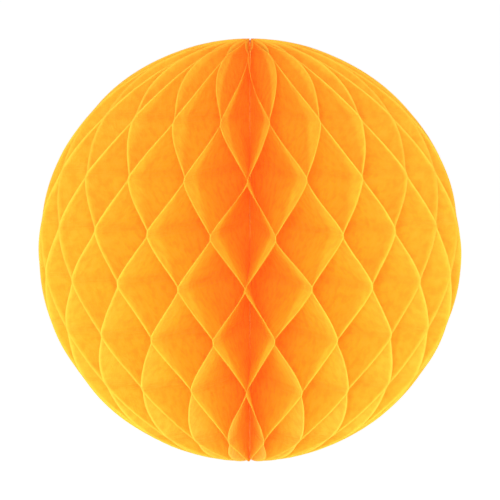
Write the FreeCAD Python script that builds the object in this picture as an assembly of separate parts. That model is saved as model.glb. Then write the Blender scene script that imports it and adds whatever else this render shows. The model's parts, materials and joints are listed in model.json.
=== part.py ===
"""Paper honeycomb ball: tissue leaves fanned out round a spine cord, between two half-disc boards.

Frame: the origin is the ball's centre, +Z runs up the spine, and -Y is the front. The two boards meet in the
plane X = 0 on the +Y side, at the back. Seen from above, the leaves follow one another anticlockwise from the
fixed board round to the moving board, and a seam is the upright plane between two neighbouring leaves.
"""
import FreeCAD, Part
import os
from math import acos, asin, atan2, cos, pi, radians, sin, sqrt

# Driving dimensions, in millimetres
BALL_RADIUS = 101.6
TISSUE = 0.025
GLUE_PITCH = 29.4
MIDDLE_GLUE_LINE = -8.4
LEAF_GAP = 0.02
BOARD_RADIUS = 101.0
BOARD_THICKNESS = 0.5
BOARD_FROM_AXIS = 12.7
PAD_THICKNESS = 0.1
PAD_GAP = 0.02
PAD_WIDTH = 20.0
PAD_HEIGHT = 12.0
PAD_FROM_CENTRE = 82.0
PAD_SPREAD = radians(42)
CORD_RADIUS = 0.6
KNOT_RADIUS = 1.7
KNOT_HEIGHT = 98.5
LEAF_FROM_AXIS = 1.3
BOARD_CLEARANCE = 1.0
KNOT_CLEARANCE = 0.5
NOTCH_RISE = 1.2

# Counts
LEAF_COUNT = 40
RIM_STEPS = 3
CAP_STEPS = 4

# Worked out from those
SEAM_ANGLE = 2 * pi / LEAF_COUNT
BACK = pi / 2
BOARD_FACE = (PAD_THICKNESS + PAD_GAP) / 2
LEAF_OFF_SEAM = (TISSUE + LEAF_GAP) / 2
LEAF_OFF_BOARD_SEAM = BOARD_FACE + BOARD_THICKNESS + LEAF_OFF_SEAM
FREE_WIDTH = BOARD_FROM_AXIS - BOARD_CLEARANCE
NOTCH_RADIUS = KNOT_RADIUS + KNOT_CLEARANCE
NOTCH_TOP = KNOT_HEIGHT - KNOT_RADIUS - KNOT_CLEARANCE


def rim_radius(z):
    """How far from the axis the ball's surface is at height z."""
    return sqrt(max(0.0, BALL_RADIUS ** 2 - z ** 2))


def glue_lines_beyond(z, way):
    """Heights of the glue lines from the one at height z to a pole, upwards for way 1 and downwards for -1.

    Tissue doesn't stretch: along the rim, a leaf that crosses from one seam to the other rises by less than
    the pitch at which its glue lines were printed.
    """
    heights = []
    while True:
        rise = GLUE_PITCH
        for _ in range(5):
            across = rim_radius(z + way * rise / 2) * SEAM_ANGLE
            rise = sqrt(GLUE_PITCH ** 2 - across ** 2)
        z += way * rise
        if abs(z) > NOTCH_TOP:
            return heights
        heights.append(z)


def glue_lines():
    """Every glue line as (height, row), from the lowest up. Row 0 joins leaves at even seams, row 1 at odd ones."""
    up = glue_lines_beyond(MIDDLE_GLUE_LINE, 1)
    down = glue_lines_beyond(MIDDLE_GLUE_LINE, -1)
    heights = down[::-1] + [MIDDLE_GLUE_LINE] + up
    return [(z, abs(i - len(down)) % 2) for i, z in enumerate(heights)]


class Leaf:
    """One half-disc of tissue, folded in a zigzag between the seams on its two sides.

    The zigzag touches the seam behind (side -1) and the seam ahead (side 1) in turn, once per glue line. A place
    on it is given by its distance from the axis, its height, and its turn away from the leaf's middle plane. The
    first and last leaves step off their seams where the boards begin, so as to lie on the boards' inner faces.
    """

    def __init__(self, number):
        self.number = number
        self.azimuth = BACK + (number - 0.5) * SEAM_ANGLE
        self.triangles = []
        self.rim = []
        self.spine = []

    def side(self, row):
        """Which side a row of glue is on: 1 for the seam ahead of this leaf, -1 for the seam behind it."""
        return 1 if self.number % 2 == row else -1

    def off_seam(self, side, distance):
        """How far the leaf's middle surface stays from the seam's plane where it is glued to what lies beyond."""
        at_board = (self.number, side) in ((1, -1), (LEAF_COUNT, 1))
        return LEAF_OFF_BOARD_SEAM if at_board and distance >= FREE_WIDTH else LEAF_OFF_SEAM

    def place(self, distance, z, turn):
        """The point at this distance from the axis, height and turn."""
        angle = self.azimuth + turn
        return FreeCAD.Vector(distance * cos(angle), distance * sin(angle), z)

    def glued_turn(self, distance, side):
        """The turn at which the leaf lies against the seam on one side, at this distance from the axis."""
        return side * (SEAM_ANGLE / 2 - atan2(self.off_seam(side, distance), distance))

    def glued(self, distance, line):
        """The point of a glue line at this distance from the axis."""
        z, row = line
        return self.place(distance, z, self.glued_turn(distance, self.side(row)))

    def strip(self, low, high):
        """Adds the flat triangles between two glue lines, with the rim that joins them."""
        (z0, row0), (z1, row1) = low, high
        rim = []
        for step in range(RIM_STEPS + 1):
            share = step / RIM_STEPS
            z = z0 + share * (z1 - z0)
            distance = rim_radius(z)
            start = self.glued_turn(distance, self.side(row0))
            end = self.glued_turn(distance, self.side(row1))
            rim.append(self.place(distance, z, start + share * (end - start)))
        inner = [self.glued(LEAF_FROM_AXIS, line) for line in (low, high)]
        free = [self.glued(FREE_WIDTH, line) for line in (low, high)]
        self.triangles += [(free[0], a, b) for a, b in zip(rim, rim[1:] + [free[1]])]
        self.triangles += [(inner[0], free[0], free[1]), (inner[0], free[1], inner[1])]
        self.rim += rim[1:]
        self.spine.append(inner[1])

    def cap(self, line):
        """Adds the triangles between the last glue line and a pole, notched beside the cord's knot.

        Returns the points along the rim and along the spine, both from the glue line to the pole.
        """
        z0, row = line
        way = 1 if z0 > 0 else -1
        side = self.side(row)

        def loose(distance, z):
            swung = SEAM_ANGLE * abs(z - z0) / GLUE_PITCH
            return self.place(distance, z, self.glued_turn(distance, side) - side * swung)

        start, end = asin(abs(z0) / BALL_RADIUS), acos(FREE_WIDTH / BALL_RADIUS)
        climb = [start + (end - start) * step / CAP_STEPS for step in range(CAP_STEPS + 1)]
        rim = [loose(BALL_RADIUS * cos(angle), way * BALL_RADIUS * sin(angle)) for angle in climb]
        pole = loose(NOTCH_RADIUS, way * sqrt(BALL_RADIUS ** 2 - NOTCH_RADIUS ** 2))
        spine = [
            self.glued(LEAF_FROM_AXIS, line),
            loose(LEAF_FROM_AXIS, way * (NOTCH_TOP - NOTCH_RISE)),
            loose(NOTCH_RADIUS, way * NOTCH_TOP),
        ]
        free = self.glued(FREE_WIDTH, line)
        inner = [spine[1], spine[0], free, rim[-1], pole]
        self.triangles += [(free, a, b)[::way] for a, b in zip(rim, rim[1:])]
        self.triangles += [(spine[2], a, b)[::way] for a, b in zip(inner, inner[1:])]
        return rim + [pole], spine

    def solid(self):
        """The leaf as one thin closed solid."""
        lines = glue_lines()
        low_rim, low_spine = self.cap(lines[0])
        self.rim, self.spine = low_rim[::-1], low_spine[::-1]
        for low, high in zip(lines, lines[1:]):
            self.strip(low, high)
        top_rim, top_spine = self.cap(lines[-1])
        outline = self.rim + top_rim[1:] + (self.spine + top_spine[1:])[::-1]

        across = FreeCAD.Vector(-sin(self.azimuth), cos(self.azimuth), 0) * (TISSUE / 2)
        faces = [flat_face([p + across for p in corners]) for corners in self.triangles]
        faces += [flat_face([p - across for p in corners[::-1]]) for corners in self.triangles]
        for a, b in zip(outline, outline[1:] + outline[:1]):
            faces.append(flat_face([a - across, b - across, b + across, a + across]))
        shell = Part.makeShell(faces)
        shell.sewShape()
        return Part.makeSolid(shell)


def flat_face(corners):
    """A flat face with these corners."""
    return Part.Face(Part.makePolygon(corners + corners[:1]))


def board(side):
    """A half-disc of board on one side of the plane where the two meet: side -1 is the fixed one's."""
    corner = sqrt(BOARD_RADIUS ** 2 - BOARD_FROM_AXIS ** 2)
    x = side * BOARD_FACE
    top = FreeCAD.Vector(x, BOARD_FROM_AXIS, corner)
    bottom = FreeCAD.Vector(x, BOARD_FROM_AXIS, -corner)
    rim = Part.Arc(top, FreeCAD.Vector(x, BOARD_RADIUS, 0), bottom).toShape()
    outline = Part.Wire([rim, Part.makeLine(bottom, top)])
    return Part.Face(outline).extrude(FreeCAD.Vector(side * BOARD_THICKNESS, 0, 0))


def closure_pad(turn):
    """A double-sided adhesive pad on the fixed board's outer face, turned up from the ball's equator."""
    corner = FreeCAD.Vector(
        -BOARD_FACE,
        PAD_FROM_CENTRE * cos(turn) - PAD_WIDTH / 2,
        PAD_FROM_CENTRE * sin(turn) - PAD_HEIGHT / 2,
    )
    return Part.makeBox(PAD_THICKNESS, PAD_WIDTH, PAD_HEIGHT, corner)


def spine_cord():
    """The cord that binds the leaves along the axis, with a stopper knot inside each pole."""
    cord = Part.makeCylinder(CORD_RADIUS, 2 * KNOT_HEIGHT, FreeCAD.Vector(0, 0, -KNOT_HEIGHT))
    knots = [Part.makeSphere(KNOT_RADIUS, FreeCAD.Vector(0, 0, way * KNOT_HEIGHT)) for way in (-1, 1)]
    return cord.fuse(knots)


def nodes():
    """Every piece as (name, shape)."""
    yield "fixed_board", board(-1)
    yield "moving_board", board(1)
    yield "spine_cord", spine_cord()
    for name, turn in (("lower", -PAD_SPREAD), ("middle", 0.0), ("upper", PAD_SPREAD)):
        yield f"closure_pad_{name}", closure_pad(turn)
    for number in range(1, LEAF_COUNT + 1):
        yield f"leaf_{number:02d}", Leaf(number).solid()


def main():
    os.makedirs("parts", exist_ok=True)
    for name, shape in nodes():
        shape.exportStep(f"parts/{name}.step")
        print(f"{name}: {shape.Volume:.2f} mm3, valid {shape.isValid()}, closed {shape.isClosed()}")


main()
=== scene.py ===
"""Blender scene of a paper honeycomb ball: forty tissue leaves fanned round a spine cord, between two boards.

Everything is in metres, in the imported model's frame: the origin is the ball's centre, +Z runs up the spine,
-Y is the front, and the two boards meet in the plane X = 0 at the back. Seen from above, the leaves follow one
another anticlockwise from the fixed board to the moving one, with a seam between each two neighbours.
"""
from __future__ import annotations

import json
import logging
import math
from dataclasses import dataclass, field
from enum import Enum

import bmesh
import bpy
from mathutils import Matrix, Vector, noise

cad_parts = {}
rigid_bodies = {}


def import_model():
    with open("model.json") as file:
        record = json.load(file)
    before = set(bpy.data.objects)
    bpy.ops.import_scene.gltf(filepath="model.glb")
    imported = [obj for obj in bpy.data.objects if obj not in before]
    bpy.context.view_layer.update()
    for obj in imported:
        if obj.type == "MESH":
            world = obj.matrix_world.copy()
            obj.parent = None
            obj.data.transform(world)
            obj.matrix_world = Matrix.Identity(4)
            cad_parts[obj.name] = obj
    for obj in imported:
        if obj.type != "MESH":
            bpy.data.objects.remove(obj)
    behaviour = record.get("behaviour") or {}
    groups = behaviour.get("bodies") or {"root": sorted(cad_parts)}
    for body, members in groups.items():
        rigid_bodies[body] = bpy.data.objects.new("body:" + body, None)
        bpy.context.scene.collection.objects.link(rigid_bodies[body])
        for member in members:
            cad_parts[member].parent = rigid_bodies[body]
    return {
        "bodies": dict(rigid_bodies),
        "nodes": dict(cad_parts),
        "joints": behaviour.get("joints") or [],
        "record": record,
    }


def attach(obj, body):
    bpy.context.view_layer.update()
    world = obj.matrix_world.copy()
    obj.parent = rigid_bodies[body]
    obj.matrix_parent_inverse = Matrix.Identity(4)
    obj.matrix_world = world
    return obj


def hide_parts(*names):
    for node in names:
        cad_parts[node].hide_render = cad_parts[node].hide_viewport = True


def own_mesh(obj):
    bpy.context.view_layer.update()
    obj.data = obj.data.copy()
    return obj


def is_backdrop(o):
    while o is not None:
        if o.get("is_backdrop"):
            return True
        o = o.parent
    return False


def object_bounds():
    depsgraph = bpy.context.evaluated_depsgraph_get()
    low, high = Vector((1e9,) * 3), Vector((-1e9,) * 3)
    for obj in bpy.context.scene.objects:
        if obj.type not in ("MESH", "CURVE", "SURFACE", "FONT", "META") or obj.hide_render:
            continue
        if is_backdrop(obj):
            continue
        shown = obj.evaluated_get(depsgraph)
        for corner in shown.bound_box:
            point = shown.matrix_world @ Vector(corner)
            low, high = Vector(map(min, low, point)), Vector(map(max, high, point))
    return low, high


log = logging.getLogger("honeycomb_ball")

MM = 0.001
SHARP_EDGE = math.radians(40)

# The colour sockets of a Mix node, which has others of the same names for plain values and vectors.
MIX_SHARE, MIX_A, MIX_B, MIX_RESULT = 0, 6, 7, 2


class Slot(str, Enum):
    """The names of the record's material slots, which the pieces here don't use."""

    TISSUE = "tissue"
    BOARD = "board"
    CORD = "cord"
    ADHESIVE = "adhesive"


class Side(Enum):
    """Which of a leaf's two seams: the one behind it or the one ahead, going anticlockwise."""

    BEHIND = -1
    AHEAD = 1


# -----------------------------------------------------------------------------------------------------------
# Materials


@dataclass(frozen=True)
class Band:
    """A stretch of some value, from low to high, and what it is turned into at each end."""

    low: float
    high: float
    at_low: float = 0.0
    at_high: float = 1.0


@dataclass
class NodeTree:
    """A short way to fill a material's or a group's node tree."""

    tree: bpy.types.NodeTree

    def add(self, kind: str, **settings: object) -> bpy.types.Node:
        """Adds a node.

        Args:
            kind: the node's type, such as ShaderNodeMix.
            settings: node properties to set, by name.

        Returns:
            The new node.
        """
        node = self.tree.nodes.new(kind)
        for name, value in settings.items():
            setattr(node, name, value)
        return node

    def feed(self, socket: bpy.types.NodeSocket, value: object) -> None:
        """Links a socket to another, or sets it to a plain value.

        Args:
            socket: the input to fill.
            value: an output to link it to, a number or vector, or a colour without its alpha.
        """
        if isinstance(value, bpy.types.NodeSocket):
            self.tree.links.new(value, socket)
        elif isinstance(value, tuple) and len(value) == 3 and socket.type == "RGBA":
            socket.default_value = (*value, 1.0)
        else:
            socket.default_value = value

    def math(self, operation: str, a: object, b: object) -> bpy.types.NodeSocket:
        """A Math node's output for two sockets or numbers."""
        node = self.add("ShaderNodeMath", operation=operation)
        self.feed(node.inputs[0], a)
        self.feed(node.inputs[1], b)
        return node.outputs[0]

    def ramp(self, value: object, band: Band) -> bpy.types.NodeSocket:
        """A clamped smooth Map Range over a band.

        Args:
            value: the socket or number to turn into another.
            band: from what stretch, and to what.

        Returns:
            The result's socket.
        """
        node = self.add("ShaderNodeMapRange", interpolation_type="SMOOTHSTEP")
        for socket, given in zip(node.inputs[:5], (value, band.low, band.high, band.at_low, band.at_high)):
            self.feed(socket, given)
        return node.outputs[0]

    def mix(self, share: object, a: object, b: object) -> bpy.types.NodeSocket:
        """A colour Mix node's output.

        Args:
            share: how much of b there is, from 0 to 1.
            a: a colour or its socket.
            b: another.

        Returns:
            The mixed colour's socket.
        """
        node = self.add("ShaderNodeMix", data_type="RGBA")
        self.feed(node.inputs[MIX_SHARE], share)
        self.feed(node.inputs[MIX_A], a)
        self.feed(node.inputs[MIX_B], b)
        return node.outputs[MIX_RESULT]

    def noise(self, where: object, scale: float, detail: float = 3.0,
              roughness: float = 0.55) -> bpy.types.NodeSocket:
        """A Noise Texture's factor.

        Args:
            where: the coordinates.
            scale: how many features there are to a metre, or to one unit of a map.
            detail: how many finer octaves are added.
            roughness: how strong they are.

        Returns:
            The factor's socket, from 0 to 1 and mostly near a half.
        """
        node = self.add("ShaderNodeTexNoise")
        self.feed(node.inputs["Vector"], where)
        self.feed(node.inputs["Scale"], scale)
        self.feed(node.inputs["Detail"], detail)
        self.feed(node.inputs["Roughness"], roughness)
        return node.outputs["Fac"]

    def laid(self, where: object, turn: tuple[float, float, float],
             scale: tuple[float, float, float]) -> bpy.types.NodeSocket:
        """Coordinates turned and stretched by a Mapping node.

        Args:
            where: the coordinates.
            turn: the rotation about each axis, in radians.
            scale: the scale along each axis: a small one draws a pattern out.

        Returns:
            The new coordinates.
        """
        node = self.add("ShaderNodeMapping")
        self.feed(node.inputs["Vector"], where)
        node.inputs["Rotation"].default_value = turn
        node.inputs["Scale"].default_value = scale
        return node.outputs[0]

    def paper(self, group: bpy.types.NodeTree, where: object, cloud_scale: float,
              fibre_scale: float) -> bpy.types.Node:
        """Places the shared paper group with its own scales.

        Args:
            group: the group that fibre_group makes.
            where: the coordinates.
            cloud_scale: how many clouds there are to a metre.
            fibre_scale: how many fibres there are to a metre.

        Returns:
            The group's node.
        """
        node = self.add("ShaderNodeGroup", node_tree=group)
        self.feed(node.inputs["Where"], where)
        self.feed(node.inputs["Cloud Scale"], cloud_scale)
        self.feed(node.inputs["Fibre Scale"], fibre_scale)
        return node

    def bump(self, height: object, strength: float, depth: float) -> bpy.types.NodeSocket:
        """A Bump node's normal.

        Args:
            height: the height's socket.
            strength: how much of the relief shows, from 0 to 1.
            depth: how deep a height of 1 is, in metres.

        Returns:
            The normal's socket.
        """
        node = self.add("ShaderNodeBump")
        node.inputs["Strength"].default_value = strength
        node.inputs["Distance"].default_value = depth
        self.feed(node.inputs["Height"], height)
        return node.outputs[0]


def new_material(name: str) -> tuple[bpy.types.Material, NodeTree, bpy.types.Node]:
    """Starts a material.

    Args:
        name: its name.

    Returns:
        The material, its node tree and its Principled BSDF.
    """
    material = bpy.data.materials.new(name)
    material.use_nodes = True
    return material, NodeTree(material.node_tree), material.node_tree.nodes["Principled BSDF"]


def fibre_group() -> bpy.types.NodeTree:
    """The paper effect shared by tissue and board: cloudy formation with long fibres laid across it.

    Returns:
        A node group with inputs Where, Cloud Scale and Fibre Scale, and outputs Cloud, Fibre and Height.
    """
    group = bpy.data.node_groups.new("paper_fibres", "ShaderNodeTree")
    sockets = (
        ("Where", "INPUT", "NodeSocketVector"),
        ("Cloud Scale", "INPUT", "NodeSocketFloat"),
        ("Fibre Scale", "INPUT", "NodeSocketFloat"),
        ("Cloud", "OUTPUT", "NodeSocketFloat"),
        ("Fibre", "OUTPUT", "NodeSocketFloat"),
        ("Height", "OUTPUT", "NodeSocketFloat"),
    )
    for name, in_out, kind in sockets:
        group.interface.new_socket(name=name, in_out=in_out, socket_type=kind)
    nodes = NodeTree(group)
    given = nodes.add("NodeGroupInput").outputs
    made = nodes.add("NodeGroupOutput").inputs
    lays = (0.35, -0.6, 1.7)
    stretch = 0.12
    cloud_in_height = 0.6
    cloud = nodes.noise(given["Where"], given["Cloud Scale"], detail=4.0, roughness=0.62)
    strands = []
    for turn in lays:
        lay = nodes.laid(given["Where"], (0.0, 0.0, turn), (1.0, stretch, 1.0))
        strands.append(nodes.noise(lay, given["Fibre Scale"], detail=2.0, roughness=0.5))
    fibre = nodes.math("MAXIMUM", nodes.math("MAXIMUM", strands[0], strands[1]), strands[2])
    nodes.feed(made["Cloud"], cloud)
    nodes.feed(made["Fibre"], fibre)
    nodes.feed(made["Height"], nodes.math("ADD", nodes.math("MULTIPLY", cloud, cloud_in_height), fibre))
    return group


@dataclass(frozen=True)
class TissueFinish:
    """Thin golden tissue: matt, cloudy and lit through from behind, with a faint painted glow, painted light
    deep in the ball and a painted highlight along its cut edge.
    """

    # painted light: the tissue deep in the ball is lighter and yellower than near the rim, standing in for
    # light in the cells' depths
    painted_deep_light: tuple[float, float, float] = (0.96, 0.64, 0.009)
    outside: tuple[float, float, float] = (0.97, 0.54, 0.010)
    pale: tuple[float, float, float] = (0.98, 0.60, 0.016)
    dense: tuple[float, float, float] = (0.93, 0.40, 0.006)
    # painted highlight: a lighter band along the leaves' rims, where light catches their edges
    painted_rim_highlight: tuple[float, float, float] = (1.0, 0.68, 0.025)
    # painted glow: a steady orange-red emission that lifts the tissue where it lies in shade, though the
    # tissue is no lamp
    painted_glow: tuple[float, float, float] = (0.12, 0.024, 0.004)
    let_through: float = 0.4
    shine: float = 0.15
    cloud_scale: float = 230.0
    fibre_scale: float = 1500.0
    thick: Band = Band(0.44, 0.66, 0.0, 0.6)
    thin: Band = Band(0.50, 0.32, 0.0, 0.7)
    strands: Band = Band(0.62, 0.84, 0.0, 0.4)
    roughness: Band = Band(0.3, 0.7, 0.74, 0.9)
    glue_stain: float = 0.25
    # how far in from the rim the painted deep light blends to the outside colour
    painted_deep_light_reach: float = 26 * MM
    rim_highlight_depth: float = 1.3 * MM
    rim_highlight_strength: float = 0.8
    crease_scale: float = 620.0
    crease_stretch: float = 0.06
    crease_at_glue: float = 1.6
    crease_elsewhere: float = 0.25
    crumple_scale: float = 95.0
    crumple_height: float = 2.2
    fibre_height: float = 0.35
    relief_strength: float = 0.8
    relief_depth: float = 0.4 * MM

    def build(self, fibres: bpy.types.NodeTree, ball_radius: float) -> bpy.types.Material:
        """Makes the material.

        Args:
            fibres: the shared paper group.
            ball_radius: where the leaves' cut edges are, in metres from the ball's centre.

        Returns:
            The material.
        """
        material, nodes, shader = new_material("golden_tissue")
        sheet = nodes.add("ShaderNodeUVMap", uv_map="sheet").outputs[0]
        glued = nodes.add("ShaderNodeAttribute", attribute_name="glued").outputs["Fac"]
        from_centre = nodes.add("ShaderNodeVectorMath", operation="LENGTH")
        nodes.feed(from_centre.inputs[0], nodes.add("ShaderNodeTexCoord").outputs["Object"])
        reach = from_centre.outputs["Value"]
        paper = nodes.paper(fibres, sheet, self.cloud_scale, self.fibre_scale)

        # painted light deep in the ball, blending to the outside colour over the outer reach
        painted_deep_light_band = Band(ball_radius - self.painted_deep_light_reach, ball_radius)
        # painted highlight along the leaves' rims
        cut = Band(ball_radius - self.rim_highlight_depth, ball_radius - 0.2 * self.rim_highlight_depth, 0.0, self.rim_highlight_strength)
        colour = nodes.mix(nodes.ramp(reach, painted_deep_light_band), self.painted_deep_light, self.outside)
        colour = nodes.mix(nodes.ramp(paper.outputs["Cloud"], self.thick), colour, self.dense)
        colour = nodes.mix(nodes.ramp(paper.outputs["Cloud"], self.thin), colour, self.pale)
        colour = nodes.mix(nodes.ramp(paper.outputs["Fibre"], self.strands), colour, self.pale)
        colour = nodes.mix(nodes.math("MULTIPLY", glued, self.glue_stain), colour, self.dense)
        # painted highlight along the rim
        colour = nodes.mix(nodes.ramp(reach, cut), colour, self.painted_rim_highlight)
        relief = self.relief(nodes, sheet, glued, paper.outputs["Height"])

        nodes.feed(shader.inputs["Base Color"], colour)
        nodes.feed(shader.inputs["Roughness"], nodes.ramp(paper.outputs["Cloud"], self.roughness))
        nodes.feed(shader.inputs["Normal"], relief)
        shader.inputs["Specular IOR Level"].default_value = self.shine
        # painted glow: the tissue gives off a little orange-red light of its own
        shader.inputs["Emission Color"].default_value = (*self.painted_glow, 1.0)
        shader.inputs["Emission Strength"].default_value = 1.0
        through = nodes.add("ShaderNodeBsdfTranslucent")
        nodes.feed(through.inputs["Color"], colour)
        nodes.feed(through.inputs["Normal"], relief)
        both = nodes.add("ShaderNodeMixShader")
        both.inputs[0].default_value = self.let_through
        nodes.feed(both.inputs[1], shader.outputs[0])
        nodes.feed(both.inputs[2], through.outputs[0])
        nodes.feed(material.node_tree.nodes["Material Output"].inputs["Surface"], both.outputs[0])
        return material

    def relief(self, nodes: NodeTree, sheet: object, glued: object, fibres: object) -> bpy.types.NodeSocket:
        """The sheet's relief: fibres, a fine crumple, and creases that gather at the glue.

        Args:
            nodes: the material's node tree.
            sheet: the sheet's own coordinates.
            glued: how near a point is to glue.
            fibres: the height of the shared paper group.

        Returns:
            The surface normal.
        """
        lines = nodes.laid(sheet, (0.0, 0.0, 0.0), (self.crease_stretch, 1.0, 1.0))
        creases = nodes.noise(lines, self.crease_scale, detail=3.0)
        crumple = nodes.noise(sheet, self.crumple_scale, detail=5.0, roughness=0.6)
        near_glue = nodes.math("MULTIPLY", glued, self.crease_at_glue)
        near_glue = nodes.math("ADD", near_glue, self.crease_elsewhere)
        height = nodes.math("ADD", nodes.math("MULTIPLY", fibres, self.fibre_height),
                            nodes.math("MULTIPLY", creases, near_glue))
        height = nodes.math("ADD", height, nodes.math("MULTIPLY", crumple, self.crumple_height))
        return nodes.bump(height, self.relief_strength, self.relief_depth)


@dataclass(frozen=True)
class BoardFinish:
    """Uncoated chipboard: grey-brown pulp with darker and lighter fibres in it, worn at its edge."""

    pulp: tuple[float, float, float] = (0.36, 0.28, 0.19)
    pale: tuple[float, float, float] = (0.52, 0.43, 0.32)
    speck: tuple[float, float, float] = (0.12, 0.085, 0.06)
    shine: float = 0.2
    cloud_scale: float = 120.0
    fibre_scale: float = 900.0
    clouds: Band = Band(0.3, 0.7)
    strands: Band = Band(0.62, 0.8, 0.0, 0.5)
    speck_scale: float = 700.0
    specks: Band = Band(0.68, 0.76)
    worn_depth: float = 2.5 * MM
    wear_scale: float = 260.0
    wear: Band = Band(0.4, 0.65, 0.0, 0.8)
    roughness: Band = Band(0.3, 0.7, 0.82, 0.95)
    relief_strength: float = 0.4
    relief_depth: float = 0.1 * MM

    def build(self, fibres: bpy.types.NodeTree, board_radius: float) -> bpy.types.Material:
        """Makes the material.

        Args:
            fibres: the shared paper group.
            board_radius: where the board's rounded edge is, in metres from the ball's centre.

        Returns:
            The material.
        """
        material, nodes, shader = new_material("chipboard")
        where = nodes.add("ShaderNodeTexCoord").outputs["Object"]
        face = nodes.laid(where, (0.0, math.pi / 2, 0.0), (1.0, 1.0, 1.0))
        paper = nodes.paper(fibres, face, self.cloud_scale, self.fibre_scale)
        colour = nodes.mix(nodes.ramp(paper.outputs["Cloud"], self.clouds), self.pulp, self.pale)
        colour = nodes.mix(nodes.ramp(paper.outputs["Fibre"], self.strands), colour, self.pale)
        specks = nodes.ramp(nodes.noise(where, self.speck_scale, detail=1.0), self.specks)
        colour = nodes.mix(specks, colour, self.speck)
        from_centre = nodes.add("ShaderNodeVectorMath", operation="LENGTH")
        nodes.feed(from_centre.inputs[0], where)
        worn = nodes.ramp(from_centre.outputs["Value"], Band(board_radius - self.worn_depth, board_radius))
        worn = nodes.math("MULTIPLY", worn, nodes.ramp(nodes.noise(where, self.wear_scale), self.wear))
        colour = nodes.mix(worn, colour, self.pale)
        relief = nodes.bump(paper.outputs["Height"], self.relief_strength, self.relief_depth)
        nodes.feed(shader.inputs["Base Color"], colour)
        nodes.feed(shader.inputs["Roughness"], nodes.ramp(paper.outputs["Cloud"], self.roughness))
        nodes.feed(shader.inputs["Normal"], relief)
        shader.inputs["Specular IOR Level"].default_value = self.shine
        return material


@dataclass(frozen=True)
class PadFinish:
    """A double-sided adhesive pad: milky film with fine bubbles, a little shiny."""

    film: tuple[float, float, float] = (0.80, 0.77, 0.66)
    milky: tuple[float, float, float] = (0.92, 0.91, 0.86)
    cloud_scale: float = 260.0
    clouds: Band = Band(0.35, 0.65)
    bubble_scale: float = 1700.0
    bubbles: Band = Band(0.66, 0.72)
    roughness: Band = Band(0.3, 0.7, 0.28, 0.45)
    relief_strength: float = 0.5
    relief_depth: float = 0.05 * MM

    def build(self) -> bpy.types.Material:
        """Makes the material.

        Returns:
            The material.
        """
        material, nodes, shader = new_material("adhesive_film")
        where = nodes.add("ShaderNodeTexCoord").outputs["Object"]
        cloud = nodes.noise(where, self.cloud_scale, detail=4.0)
        bubbles = nodes.noise(where, self.bubble_scale, detail=1.0)
        colour = nodes.mix(nodes.ramp(cloud, self.clouds), self.film, self.milky)
        colour = nodes.mix(nodes.ramp(bubbles, self.bubbles), colour, self.milky)
        nodes.feed(shader.inputs["Base Color"], colour)
        nodes.feed(shader.inputs["Roughness"], nodes.ramp(cloud, self.roughness))
        nodes.feed(shader.inputs["Normal"], nodes.bump(bubbles, self.relief_strength, self.relief_depth))
        return material


@dataclass(frozen=True)
class ThreadFinish:
    """Cotton thread dyed to match the tissue, with its fibres wound along each ply, painted shade between them
    and a faint painted glow.
    """

    dye: tuple[float, float, float] = (0.96, 0.42, 0.015)
    # painted shade: a darker orange in the hollows between the wound strands
    painted_hollow_shade: tuple[float, float, float] = (0.90, 0.30, 0.010)
    fluff: tuple[float, float, float] = (1.0, 0.56, 0.05)
    # painted glow: a steady orange-red emission, though the thread is no lamp
    painted_glow: tuple[float, float, float] = (0.22, 0.045, 0.004)
    strand_slant: float = 0.5
    strand_stretch: float = 0.10
    strand_scale: float = 14.0
    strands: Band = Band(0.35, 0.62)
    fluff_scale: float = 2600.0
    loose: Band = Band(0.60, 0.75, 0.0, 0.6)
    roughness: Band = Band(0.3, 0.7, 0.95, 0.8)
    relief_strength: float = 0.7
    relief_depth: float = 0.08 * MM
    sheen: float = 0.3
    shine: float = 0.2

    def build(self) -> bpy.types.Material:
        """Makes the material.

        Returns:
            The material.
        """
        material, nodes, shader = new_material("dyed_thread")
        along = nodes.add("ShaderNodeUVMap", uv_map="ply").outputs[0]
        slanted = nodes.laid(along, (0.0, 0.0, self.strand_slant), (1.0, self.strand_stretch, 1.0))
        strands = nodes.noise(slanted, self.strand_scale, detail=3.0)
        where = nodes.add("ShaderNodeTexCoord").outputs["Object"]
        loose = nodes.noise(where, self.fluff_scale, detail=2.0)
        # painted shade in the hollows between the strands
        colour = nodes.mix(nodes.ramp(strands, self.strands), self.painted_hollow_shade, self.dye)
        colour = nodes.mix(nodes.ramp(loose, self.loose), colour, self.fluff)
        nodes.feed(shader.inputs["Base Color"], colour)
        nodes.feed(shader.inputs["Roughness"], nodes.ramp(strands, self.roughness))
        nodes.feed(shader.inputs["Normal"], nodes.bump(strands, self.relief_strength, self.relief_depth))
        # painted glow
        shader.inputs["Emission Color"].default_value = (*self.painted_glow, 1.0)
        shader.inputs["Emission Strength"].default_value = 1.0
        shader.inputs["Sheen Weight"].default_value = self.sheen
        shader.inputs["Specular IOR Level"].default_value = self.shine
        return material


# -----------------------------------------------------------------------------------------------------------
# The ball's layout


@dataclass(frozen=True)
class Drift:
    """A smooth wander that hand work leaves in a size or place: the same each run, up to size either way."""

    size: float
    rates: tuple[float, float, float]

    def at(self, a: float, b: float, c: float = 1.0) -> float:
        """The wander at a, b and c, each multiplied by its rate. Left out, c makes its rate a seed."""
        along, across, onward = self.rates
        return self.size * noise.noise(Vector((a * along, b * across, c * onward)))


@dataclass(frozen=True)
class GlueLine:
    """One height at which leaves are glued: row 0 at even seams, row 1 at odd ones."""

    height: float
    row: int
    index: int


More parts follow.
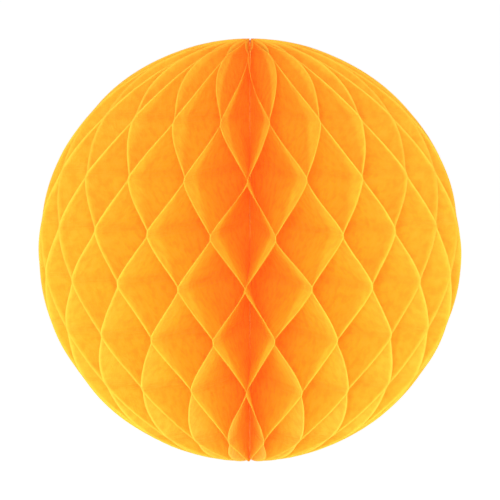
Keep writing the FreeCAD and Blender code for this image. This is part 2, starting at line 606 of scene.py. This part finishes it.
@dataclass(frozen=True)
class BallPlan:
    """Where seams, glue lines and boards are, shared by every piece of the ball."""

    radius: float
    leaf_count: int
    glue_pitch: float = 29.4 * MM
    middle_line: float = -8.4 * MM
    glue_half_height: float = 1.2 * MM
    board_face: float = 0.06 * MM
    board_thickness: float = 0.5 * MM
    board_from_axis: float = 12.7 * MM
    board_radius: float = 101.0 * MM
    leaf_from_axis: float = 1.3 * MM
    pole_hole: float = 2.2 * MM
    pole_share: float = 0.93
    last_line_share: float = 0.95
    slow_sway: Drift = Drift(math.radians(1.0), (5.17, 9.0, 2.3))
    quick_sway: Drift = Drift(math.radians(0.8), (3.71, 31.0, 8.9))
    spot_shift: Drift = Drift(1.3 * MM, (4.31, 6.13, 0.7))
    spot_growth: Drift = Drift(0.5, (2.9, 3.3, 5.1))

    @property
    def seam_angle(self) -> float:
        """The angle between neighbouring seams."""
        return 2 * math.pi / self.leaf_count

    def rim(self, z: float) -> float:
        """How far from the axis the ball's surface is at height z."""
        return math.sqrt(max(0.0, self.radius ** 2 - z ** 2))

    def lines_beyond(self, z: float, way: int) -> list[float]:
        """Heights of the glue lines between the one at height z and a pole.

        Args:
            z: the height to start from.
            way: 1 for upwards and -1 for downwards.

        Returns:
            The heights, nearest first.
        """
        heights = []
        settling_rounds = 5
        while True:
            rise = self.glue_pitch
            for _ in range(settling_rounds):
                across = self.rim(z + way * rise / 2) * self.seam_angle
                rise = math.sqrt(self.glue_pitch ** 2 - across ** 2)
            z += way * rise
            if abs(z) > self.last_line_share * self.radius:
                return heights
            heights.append(z)

    def glue_lines(self) -> list[GlueLine]:
        """Every glue line, from the lowest up."""
        down = self.lines_beyond(self.middle_line, -1)
        heights = down[::-1] + [self.middle_line] + self.lines_beyond(self.middle_line, 1)
        return [GlueLine(z, abs(i - len(down)) % 2, i) for i, z in enumerate(heights)]

    def at_board(self, seam: int) -> bool:
        """Whether the seam is where a leaf is glued to a board."""
        return seam in (0, self.leaf_count)

    def seam_sway(self, seam: int, z: float) -> float:
        """How far a hand-glued seam strays from its true angle at height z, in radians."""
        if self.at_board(seam):
            return 0.0
        return self.slow_sway.at(seam, z) + self.quick_sway.at(seam, z)

    def line_shift(self, seam: int, line: GlueLine) -> float:
        """How far a seam's glue spot strays from its line's height, in metres."""
        return self.spot_shift.at(seam, line.index)

    def line_half_height(self, seam: int, line: GlueLine) -> float:
        """Half the height of a seam's glued strip, which varies a little."""
        return self.glue_half_height * (1 + self.spot_growth.at(seam, line.index))


# -----------------------------------------------------------------------------------------------------------
# Tissue leaves


@dataclass
class TissueLeaf:
    """One half-disc of tissue, glued to its neighbours along short strips and curving freely between them."""

    plan: BallPlan
    number: int
    material: bpy.types.Material
    thickness: float = 0.05 * MM
    gap: float = 0.01 * MM
    panel_rows: int = 14
    strip_rows: int = 2
    cap_rows: int = 9
    columns: int = 40
    softness: float = 0.12
    swell: Drift = Drift(0.55 * MM, (38.0, 46.0, 3.7))
    fine_swell: Drift = Drift(0.35 * 0.55 * MM, (110.0, 70.0, 5.9))
    trim: Drift = Drift(0.35 * MM, (8.3, 24.0, 4.4))
    board_bend: tuple[float, float] = (0.4, 0.9)
    glue_mark_fade: float = 5.0
    sheet_spacing: float = 0.37
    closed_share: float = 0.0118
    flat_width_share: float = 1.06
    flat_height_share: float = 2.06
    name: str = field(init=False)
    azimuth: float = field(init=False)

    def __post_init__(self) -> None:
        """Works out the leaf's name and the direction of its middle plane."""
        self.name = f"leaf_{self.number:02d}"
        self.azimuth = math.pi / 2 + (self.number - 0.5) * self.plan.seam_angle

    @property
    def across(self) -> Vector:
        """The direction square to the leaf's middle plane."""
        return Vector((-math.sin(self.azimuth), math.cos(self.azimuth), 0.0))

    def side(self, line: GlueLine) -> Side:
        """The side on which a glue line holds this leaf."""
        return Side.AHEAD if self.number % 2 == line.row else Side.BEHIND

    def seam(self, side: Side) -> int:
        """The number of the seam on one side."""
        return self.number if side is Side.AHEAD else self.number - 1

    def glued_turn(self, side: Side, distance: float, z: float) -> float:
        """The leaf's turn from its middle plane where it lies against one seam.

        Args:
            side: which seam.
            distance: from the axis.
            z: the height.

        Returns:
            The turn, in radians.
        """
        seam = self.seam(side)
        off = (self.thickness + self.gap) / 2
        if self.plan.at_board(seam):
            start, end = (part * self.plan.board_from_axis for part in self.board_bend)
            share = min(1.0, max(0.0, (distance - start) / (end - start)))
            off += share * (self.plan.board_face + self.plan.board_thickness)
        sway = self.plan.seam_sway(seam, z)
        return side.value * (self.plan.seam_angle / 2 - math.atan2(off, distance)) + sway

    def rows(self) -> list[tuple[float, float]]:
        """The leaf's levels from the bottom pole to the top.

        Returns:
            For each row of the mesh, its height and its swing: -1 on the seam behind, 1 on the one ahead.
        """
        strips = []
        for line in self.plan.glue_lines():
            seam = self.seam(self.side(line))
            middle = line.height + self.plan.line_shift(seam, line)
            half = self.plan.line_half_height(seam, line)
            strips.append((middle - half, middle + half, self.side(line).value))
        low, high = strips[0], strips[-1]
        levels = [*reversed(self.cap_levels(low[0], -1, low[2]))]
        for i, (bottom, top, swing) in enumerate(strips):
            levels += [(bottom + (top - bottom) * s / self.strip_rows, swing)
                       for s in range(self.strip_rows + 1)]
            if i + 1 < len(strips):
                above, _, swing_above = strips[i + 1]
                for s in range(1, self.panel_rows):
                    share = s / self.panel_rows
                    eased = self.ease(share)
                    levels.append((top + (above - top) * share, swing + (swing_above - swing) * eased))
        return levels + self.cap_levels(high[1], 1, high[2])

    def cap_levels(self, start: float, way: int, swing: float) -> list[tuple[float, float]]:
        """The levels between the last glue strip and a pole, in equal steps along the rim.

        Args:
            start: the height of the strip's end, which is left out.
            way: 1 towards the top pole and -1 towards the bottom one.
            swing: the strip's own swing, from which the leaf crosses to the other seam.

        Returns:
            The height and swing of each level, nearest the strip first.
        """
        radius = self.plan.radius
        first, last = math.asin(abs(start) / radius), math.acos(self.plan.pole_hole / radius)
        levels = []
        for s in range(1, self.cap_rows + 1):
            z = radius * math.sin(first + (last - first) * s / self.cap_rows)
            swung = self.ease((z - abs(start)) / (radius - abs(start)))
            levels.append((way * z, swing * (1 - 2 * swung)))
        return levels

    def ease(self, share: float) -> float:
        """How far a panel has swung from one seam to the other: straight, but curved at its ends."""
        smooth = share * share * (3 - 2 * share)
        return share + (smooth - share) * self.softness

    def place(self, u: float, z: float, swing: float) -> Vector:
        """The point of the leaf's middle surface.

        Args:
            u: 0 at the spine and 1 at the rim.
            z: the height.
            swing: -1 on the seam behind, 1 on the one ahead.

        Returns:
            The point, in the frame.
        """
        plan = self.plan
        rim = plan.rim(z)
        inner = min(plan.leaf_from_axis if abs(z) < plan.pole_share * plan.radius else plan.pole_hole, rim)
        trim = self.trim.at(self.number, z) * u
        distance = inner + (rim - inner + min(0.0, trim)) * u
        behind = self.glued_turn(Side.BEHIND, distance, z)
        ahead = self.glued_turn(Side.AHEAD, distance, z)
        turn = behind + (ahead - behind) * (swing + 1) / 2
        free = 1 - swing * swing
        swell = self.swell.at(distance, z, self.number) + self.fine_swell.at(distance, z, self.number)
        turn += free * swell * min(1.0, distance / (0.5 * plan.radius)) / distance
        angle = self.azimuth + turn
        return Vector((distance * math.cos(angle), distance * math.sin(angle), z))

    def flat_area(self, levels: list[tuple[float, float]], steps: int = 10) -> float:
        """The area of the sheet before it was glued and pulled open.

        It is as wide as the open leaf at each height, and as tall as the leaf is along its own surface.

        Args:
            levels: the leaf's rows.
            steps: how many strips each row is added up in, from the spine to the rim.

        Returns:
            The area, in square metres.
        """
        area = 0.0
        for (z0, swing0), (z1, swing1) in zip(levels, levels[1:]):
            rim = (self.plan.rim(z0) + self.plan.rim(z1)) / 2
            swung = (swing1 - swing0) / 2 * self.plan.seam_angle
            for step in range(steps):
                distance = rim * (step + 0.5) / steps
                area += math.hypot(z1 - z0, swung * distance) * rim / steps
        return area

    def build(self) -> bpy.types.Object:
        """Makes the leaf: a flat grid laid out on its glue strips and seams, given its thickness.

        Returns:
            The leaf's object.
        """
        levels = self.rows()
        shape = bmesh.new()
        bmesh.ops.create_grid(shape, x_segments=self.columns, y_segments=len(levels) - 1, size=0.5)
        glued = shape.verts.layers.float.new("glued")
        for vertex in shape.verts:
            z, swing = levels[round((vertex.co.y + 0.5) * (len(levels) - 1))]
            vertex.co = self.place(vertex.co.x + 0.5, z, swing)
            vertex[glued] = max(0.0, 1 - self.glue_mark_fade * (1 - abs(swing)))
        bmesh.ops.recalc_face_normals(shape, faces=shape.faces)
        shape.normal_update()
        for vertex, normal in [(v, v.normal.copy()) for v in shape.verts]:
            vertex.co += normal * self.thickness / 2
        bmesh.ops.solidify(shape, geom=shape.faces[:], thickness=self.thickness)
        bmesh.ops.recalc_face_normals(shape, faces=shape.faces)
        sheet = shape.loops.layers.uv.new("sheet")
        for face in shape.faces:
            face.smooth = True
            for loop in face.loops:
                x, y, z = loop.vert.co
                loop[sheet].uv = (math.hypot(x, y) + self.sheet_spacing * self.number, z)
        leaf = finished(f"tissue_{self.name}", shape, self.material)
        self.attach(leaf, self.flat_area(levels))
        return leaf

    def attach(self, leaf: bpy.types.Object, area: float) -> None:
        """Puts the leaf on its body, hides the model's own leaf and gives the leaf a mesh of its own.

        Args:
            leaf: the finished leaf.
            area: its flat area, in square metres; not used.
        """
        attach(leaf, self.name)
        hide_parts(self.name)
        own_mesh(leaf)


# -----------------------------------------------------------------------------------------------------------
# Boards, pads and cord


def finished(name: str, shape: bmesh.types.BMesh, material: bpy.types.Material) -> bpy.types.Object:
    """Turns a finished shape into an object in the scene.

    Args:
        name: the object's name.
        shape: its bmesh, which is freed.
        material: its only material.

    Returns:
        The object.
    """
    mesh = bpy.data.meshes.new(name)
    shape.to_mesh(mesh)
    shape.free()
    mesh.materials.append(material)
    made = bpy.data.objects.new(name, mesh)
    bpy.context.scene.collection.objects.link(made)
    return made


def soften(shape: bmesh.types.BMesh, radius: float) -> None:
    """Rounds every sharp edge of a shape a little, as cutting leaves it.

    Args:
        shape: the bmesh to change.
        radius: the edges' new radius, in metres.
    """
    sharp = [e for e in shape.edges if len(e.link_faces) == 2 and e.calc_face_angle() > SHARP_EDGE]
    bmesh.ops.bevel(shape, geom=sharp, offset=radius, offset_type="OFFSET", affect="EDGES", segments=2,
                    profile=0.5, material=-1, clamp_overlap=True)


@dataclass
class CoverBoard:
    """One of the two half-discs of board that the end leaves are glued to, its edge crushed by the cut."""

    plan: BallPlan
    name: str
    side: Side
    material: bpy.types.Material
    edge_radius: float = 0.12 * MM
    rim_steps: int = 240

    def build(self) -> bpy.types.Object:
        """Makes the board: a disc, cut off beside the spine, then given its thickness.

        Returns:
            The board's object.
        """
        plan = self.plan
        shape = bmesh.new()
        bmesh.ops.create_circle(shape, cap_ends=True, segments=self.rim_steps, radius=plan.board_radius,
                                matrix=Matrix.Rotation(math.pi / 2, 4, "Y"))
        bmesh.ops.bisect_plane(shape, geom=shape.verts[:] + shape.edges[:] + shape.faces[:],
                               plane_co=(0, plan.board_from_axis, 0), plane_no=(0, -1, 0), clear_outer=True)
        grown = bmesh.ops.extrude_face_region(shape, geom=shape.faces[:])["geom"]
        outer = [g for g in grown if isinstance(g, bmesh.types.BMVert)]
        away = self.side.value
        bmesh.ops.translate(shape, verts=outer, vec=(away * plan.board_thickness, 0, 0))
        bmesh.ops.translate(shape, verts=shape.verts, vec=(away * plan.board_face, 0, 0))
        bmesh.ops.recalc_face_normals(shape, faces=shape.faces)
        soften(shape, self.edge_radius)
        board = finished(f"chipboard_{self.name}", shape, self.material)
        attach(board, self.name)
        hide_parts(self.name)
        return board


@dataclass
class ClosurePad:
    """A double-sided adhesive pad on the fixed board, with rounded corners."""

    plan: BallPlan
    name: str
    turn: float
    material: bpy.types.Material
    width: float = 20 * MM
    height: float = 12 * MM
    thickness: float = 0.1 * MM
    corner: float = 1.5 * MM
    corner_steps: int = 5
    edge_radius: float = 0.03 * MM
    from_centre: float = 82 * MM

    def build(self) -> bpy.types.Object:
        """Makes the pad on the board's outer face, turned up from the equator.

        Returns:
            The pad's object.
        """
        shape = bmesh.new()
        bmesh.ops.create_grid(shape, x_segments=1, y_segments=1, size=0.5)
        bmesh.ops.scale(shape, verts=shape.verts, vec=(self.width, self.height, 1))
        bmesh.ops.bevel(shape, geom=shape.verts[:], offset=self.corner, offset_type="OFFSET",
                        affect="VERTICES", segments=self.corner_steps, profile=0.5, material=-1)
        bmesh.ops.rotate(shape, verts=shape.verts, matrix=Matrix.Rotation(math.pi / 2, 3, "X"))
        bmesh.ops.rotate(shape, verts=shape.verts, matrix=Matrix.Rotation(math.pi / 2, 3, "Z"))
        grown = bmesh.ops.extrude_face_region(shape, geom=shape.faces[:])["geom"]
        outer = [g for g in grown if isinstance(g, bmesh.types.BMVert)]
        bmesh.ops.translate(shape, verts=outer, vec=(self.thickness, 0, 0))
        middle = (-self.plan.board_face, self.from_centre * math.cos(self.turn),
                  self.from_centre * math.sin(self.turn))
        bmesh.ops.translate(shape, verts=shape.verts, vec=middle)
        bmesh.ops.recalc_face_normals(shape, faces=shape.faces)
        soften(shape, self.edge_radius)
        pad = finished(f"film_{self.name}", shape, self.material)
        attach(pad, "fixed_board")
        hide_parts(self.name)
        return pad


@dataclass
class SpineCord:
    """The two-ply thread that binds the leaves along the axis, tight between a stopper knot at each pole."""

    material: bpy.types.Material
    radius: float = 0.6 * MM
    knot_height: float = 98.5 * MM
    knot_radius: float = 1.7 * MM
    plies: int = 2
    ply_share: float = 0.56
    lay: float = 3.4 * MM
    steps_per_turn: int = 14
    sides: int = 8
    taper_steps: int = 3
    end_share: float = 0.25
    map_rise: float = 0.05
    knot_steps: int = 72
    knot_turns: float = 10.0
    knot_ply_share: float = 0.30
    knot_tightness: float = 0.70
    knot_depth: float = 1.6

    def tube(self, shape: bmesh.types.BMesh, path: list[Vector], radius: float, turns: float) -> None:
        """Draws one ply along a path, with its own map: u round the ply and v along it.

        Args:
            shape: the bmesh to add to.
            path: the ply's middle line.
            radius: the ply's radius, which tapers to nothing at both ends.
            turns: how many times the map winds round the ply on the way.
        """
        ply = shape.loops.layers.uv.verify()
        ring = bmesh.ops.create_circle(shape, cap_ends=False, segments=self.sides, radius=radius)["verts"]
        edges = list({e for v in ring for e in v.link_edges})
        place = [v.co.copy() for v in ring]
        frame = Vector((1, 0, 0))
        rings = [ring]
        for i, middle in enumerate(path):
            ahead = (path[min(i + 1, len(path) - 1)] - path[max(i - 1, 0)]).normalized()
            frame = (frame - ahead * frame.dot(ahead)).normalized()
            across = ahead.cross(frame)
            taper = min(1.0, self.end_share + min(i, len(path) - 1 - i) / self.taper_steps)
            if i:
                geom = bmesh.ops.extrude_edge_only(shape, edges=edges)["geom"]
                fresh = [g for g in geom if isinstance(g, bmesh.types.BMVert)]
                edges = [g for g in geom if isinstance(g, bmesh.types.BMEdge)]
                order = {self.below(v): v for v in fresh}
                rings.append([order[v] for v in rings[-1]])
            for vertex, flat in zip(rings[-1], place):
                vertex.co = middle + (frame * flat.x + across * flat.y) * taper
        bmesh.ops.holes_fill(shape, edges=[e for e in shape.edges if e.is_boundary], sides=self.sides)
        where = {v: (k / self.sides, i) for i, r in enumerate(rings) for k, v in enumerate(r)}
        for face in {f for r in rings for v in r for f in v.link_faces}:
            face.smooth = True
            for loop in face.loops:
                u, i = where[loop.vert]
                loop[ply].uv = (u + turns * i / len(path), i * self.map_rise)

    @staticmethod
    def below(vertex: bmesh.types.BMVert) -> bmesh.types.BMVert:
        """The vertex that a fresh one was extruded from."""
        return next(e.other_vert(vertex) for e in vertex.link_edges if len(e.link_faces) == 2
                    or not e.is_boundary)

    def build(self) -> bpy.types.Object:
        """Makes the cord and both knots in one mesh.

        Returns:
            The cord's object.
        """
        shape = bmesh.new()
        shape.loops.layers.uv.new("ply")
        ply_radius = self.radius * self.ply_share
        offset = self.radius - ply_radius
        turns = 2 * self.knot_height / self.lay
        steps = int(turns * self.steps_per_turn)
        for ply in range(self.plies):
            path = []
            for i in range(steps + 1):
                angle = 2 * math.pi * (turns * i / steps + ply / self.plies)
                z = -self.knot_height + 2 * self.knot_height * i / steps
                path.append(Vector((offset * math.cos(angle), offset * math.sin(angle), z)))
            self.tube(shape, path, ply_radius, turns)
        for way in (-1, 1):
            self.tube(shape, self.knot_path(way), self.knot_radius * self.knot_ply_share, self.knot_turns)
        bmesh.ops.recalc_face_normals(shape, faces=shape.faces)
        cord = finished("thread_spine_cord", shape, self.material)
        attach(cord, "fixed_board")
        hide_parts("spine_cord")
        return cord

    def knot_path(self, way: int) -> list[Vector]:
        """The middle line of an overhand knot round the cord's end: a closed trefoil, pulled small.

        Args:
            way: 1 for the top knot and -1 for the bottom one.

        Returns:
            Its points, of which the last is the first again.
        """
        trefoil_reach = 3
        scale = self.knot_radius * self.knot_tightness / trefoil_reach
        path = []
        for i in range(self.knot_steps + 1):
            t = 2 * math.pi * i / self.knot_steps
            path.append(Vector((
                scale * (math.sin(t) + 2 * math.sin(2 * t)),
                scale * (math.cos(t) - 2 * math.cos(2 * t)),
                way * self.knot_height - scale * self.knot_depth * math.sin(3 * t),
            )))
        return path


# -----------------------------------------------------------------------------------------------------------
# Studio


@dataclass(frozen=True)
class Softbox:
    """A square area lamp that faces the ball: its place, in degrees and metres, its side and its power."""

    name: str
    azimuth: float
    elevation: float
    distance: float
    size: float
    power: float


@dataclass(frozen=True)
class Studio:
    """The camera, the pale floor and the soft light."""

    ball_radius: float
    azimuth: float = math.radians(1.6)
    elevation: float = math.radians(6.0)
    distance: float = 2.5
    ball_share: float = 0.846
    floor_depth: float = 0.55
    floor_size: float = 60.0
    floor_glow: float = 0.90
    floor_grey: float = 0.93
    surround: float = 0.125
    gamma: float = 1.4
    sensor_width: float = 36.0
    softboxes: tuple[Softbox, ...] = (
        Softbox("front_softbox", azimuth=0, elevation=8, distance=2.4, size=0.5, power=31.0),
        Softbox("top_softbox", azimuth=0, elevation=45, distance=2.4, size=1.0, power=4.5),
        Softbox("left_softbox", azimuth=-48, elevation=14, distance=2.2, size=0.5, power=19.0),
        Softbox("right_softbox", azimuth=48, elevation=14, distance=2.2, size=0.5, power=15.0),
    )

    def build(self) -> None:
        """Makes everything in the studio."""
        self.camera()
        self.floor()
        self.lights()
        scene = bpy.context.scene
        scene.view_settings.view_transform = "Standard"
        scene.view_settings.gamma = self.gamma
        scene.cycles.diffuse_bounces = 12
        scene.cycles.max_bounces = 24
        scene.cycles.transmission_bounces = 16

    def towards(self, azimuth: float, elevation: float) -> Vector:
        """The direction from the ball to a place round it.

        Args:
            azimuth: 0 at the front and growing anticlockwise seen from above, in radians.
            elevation: above the level of the ball's centre, in radians.

        Returns:
            A vector of length 1.
        """
        flat = math.cos(elevation)
        return Vector((math.sin(azimuth) * flat, -math.cos(azimuth) * flat, math.sin(elevation)))

    def camera(self) -> None:
        """A long lens, nearly level, with the ball filling its share of the frame."""
        data = bpy.data.cameras.new("camera")
        data.sensor_width = self.sensor_width
        data.lens = data.sensor_width * self.distance * self.ball_share / (2 * self.ball_radius)
        camera = bpy.data.objects.new("camera", data)
        away = self.towards(self.azimuth, self.elevation)
        camera.location = away * self.distance
        camera.rotation_mode = "QUATERNION"
        camera.rotation_quaternion = (-away).to_track_quat("-Z", "Y")
        bpy.context.scene.collection.objects.link(camera)
        bpy.context.scene.camera = camera

    def floor(self) -> None:
        """A wide pale floor well below the hanging ball."""
        shape = bmesh.new()
        bmesh.ops.create_grid(shape, x_segments=1, y_segments=1, size=self.floor_size / 2)
        bmesh.ops.translate(shape, verts=shape.verts, vec=(0, 0, -self.floor_depth))
        material, _, shader = new_material("pale_floor")
        shader.inputs["Base Color"].default_value = (self.floor_grey, self.floor_grey, self.floor_grey, 1.0)
        shader.inputs["Roughness"].default_value = 0.9
        shader.inputs["Specular IOR Level"].default_value = 0.1
        shader.inputs["Emission Color"].default_value = (1.0, 1.0, 1.0, 1.0)
        shader.inputs["Emission Strength"].default_value = self.floor_glow
        finished("floor", shape, material)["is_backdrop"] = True

    def hang(self, softbox: Softbox) -> None:
        """Hangs a softbox, which lights the ball and doesn't show itself."""
        data = bpy.data.lights.new(softbox.name, "AREA")
        data.shape = "SQUARE"
        data.size = softbox.size
        data.energy = softbox.power
        lamp = bpy.data.objects.new(softbox.name, data)
        away = self.towards(math.radians(softbox.azimuth), math.radians(softbox.elevation))
        lamp.location = away * softbox.distance
        lamp.rotation_mode = "QUATERNION"
        lamp.rotation_quaternion = (-away).to_track_quat("-Z", "Y")
        lamp.visible_camera = False
        bpy.context.scene.collection.objects.link(lamp)

    def lights(self) -> None:
        """An even white surround, with a softbox near the camera, one above it and one to each side."""
        world = bpy.data.worlds.new("white_surround")
        world.use_nodes = True
        background = world.node_tree.nodes["Background"]
        background.inputs["Color"].default_value = (1.0, 1.0, 1.0, 1.0)
        background.inputs["Strength"].default_value = self.surround
        bpy.context.scene.world = world
        for softbox in self.softboxes:
            self.hang(softbox)


def main() -> None:
    """Builds the studio and the ball, piece by piece."""
    logging.basicConfig(level=logging.INFO, format="%(name)s: %(message)s")
    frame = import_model()
    cad_low, cad_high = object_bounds()
    leaf_nodes = sorted(n for n in frame["nodes"] if n.startswith("leaf_"))
    plan = BallPlan(radius=cad_high.z, leaf_count=len(leaf_nodes))
    Studio(ball_radius=plan.radius).build()

    fibres = fibre_group()
    tissue = TissueFinish().build(fibres, plan.radius)
    chipboard = BoardFinish().build(fibres, plan.board_radius)
    film = PadFinish().build()
    thread = ThreadFinish().build()
    pieces = [TissueLeaf(plan, number, tissue) for number in range(1, plan.leaf_count + 1)]
    pieces += [CoverBoard(plan, "fixed_board", Side.BEHIND, chipboard),
               CoverBoard(plan, "moving_board", Side.AHEAD, chipboard)]
    pieces += [ClosurePad(plan, f"closure_pad_{name}", math.radians(turn), film)
               for name, turn in (("lower", -42), ("middle", 0), ("upper", 42))]
    pieces.append(SpineCord(thread))
    for piece in pieces:
        made = piece.build()
        log.info("%s: %d faces", made.name, len(made.data.polygons))


if __name__ == "__main__":
    main()
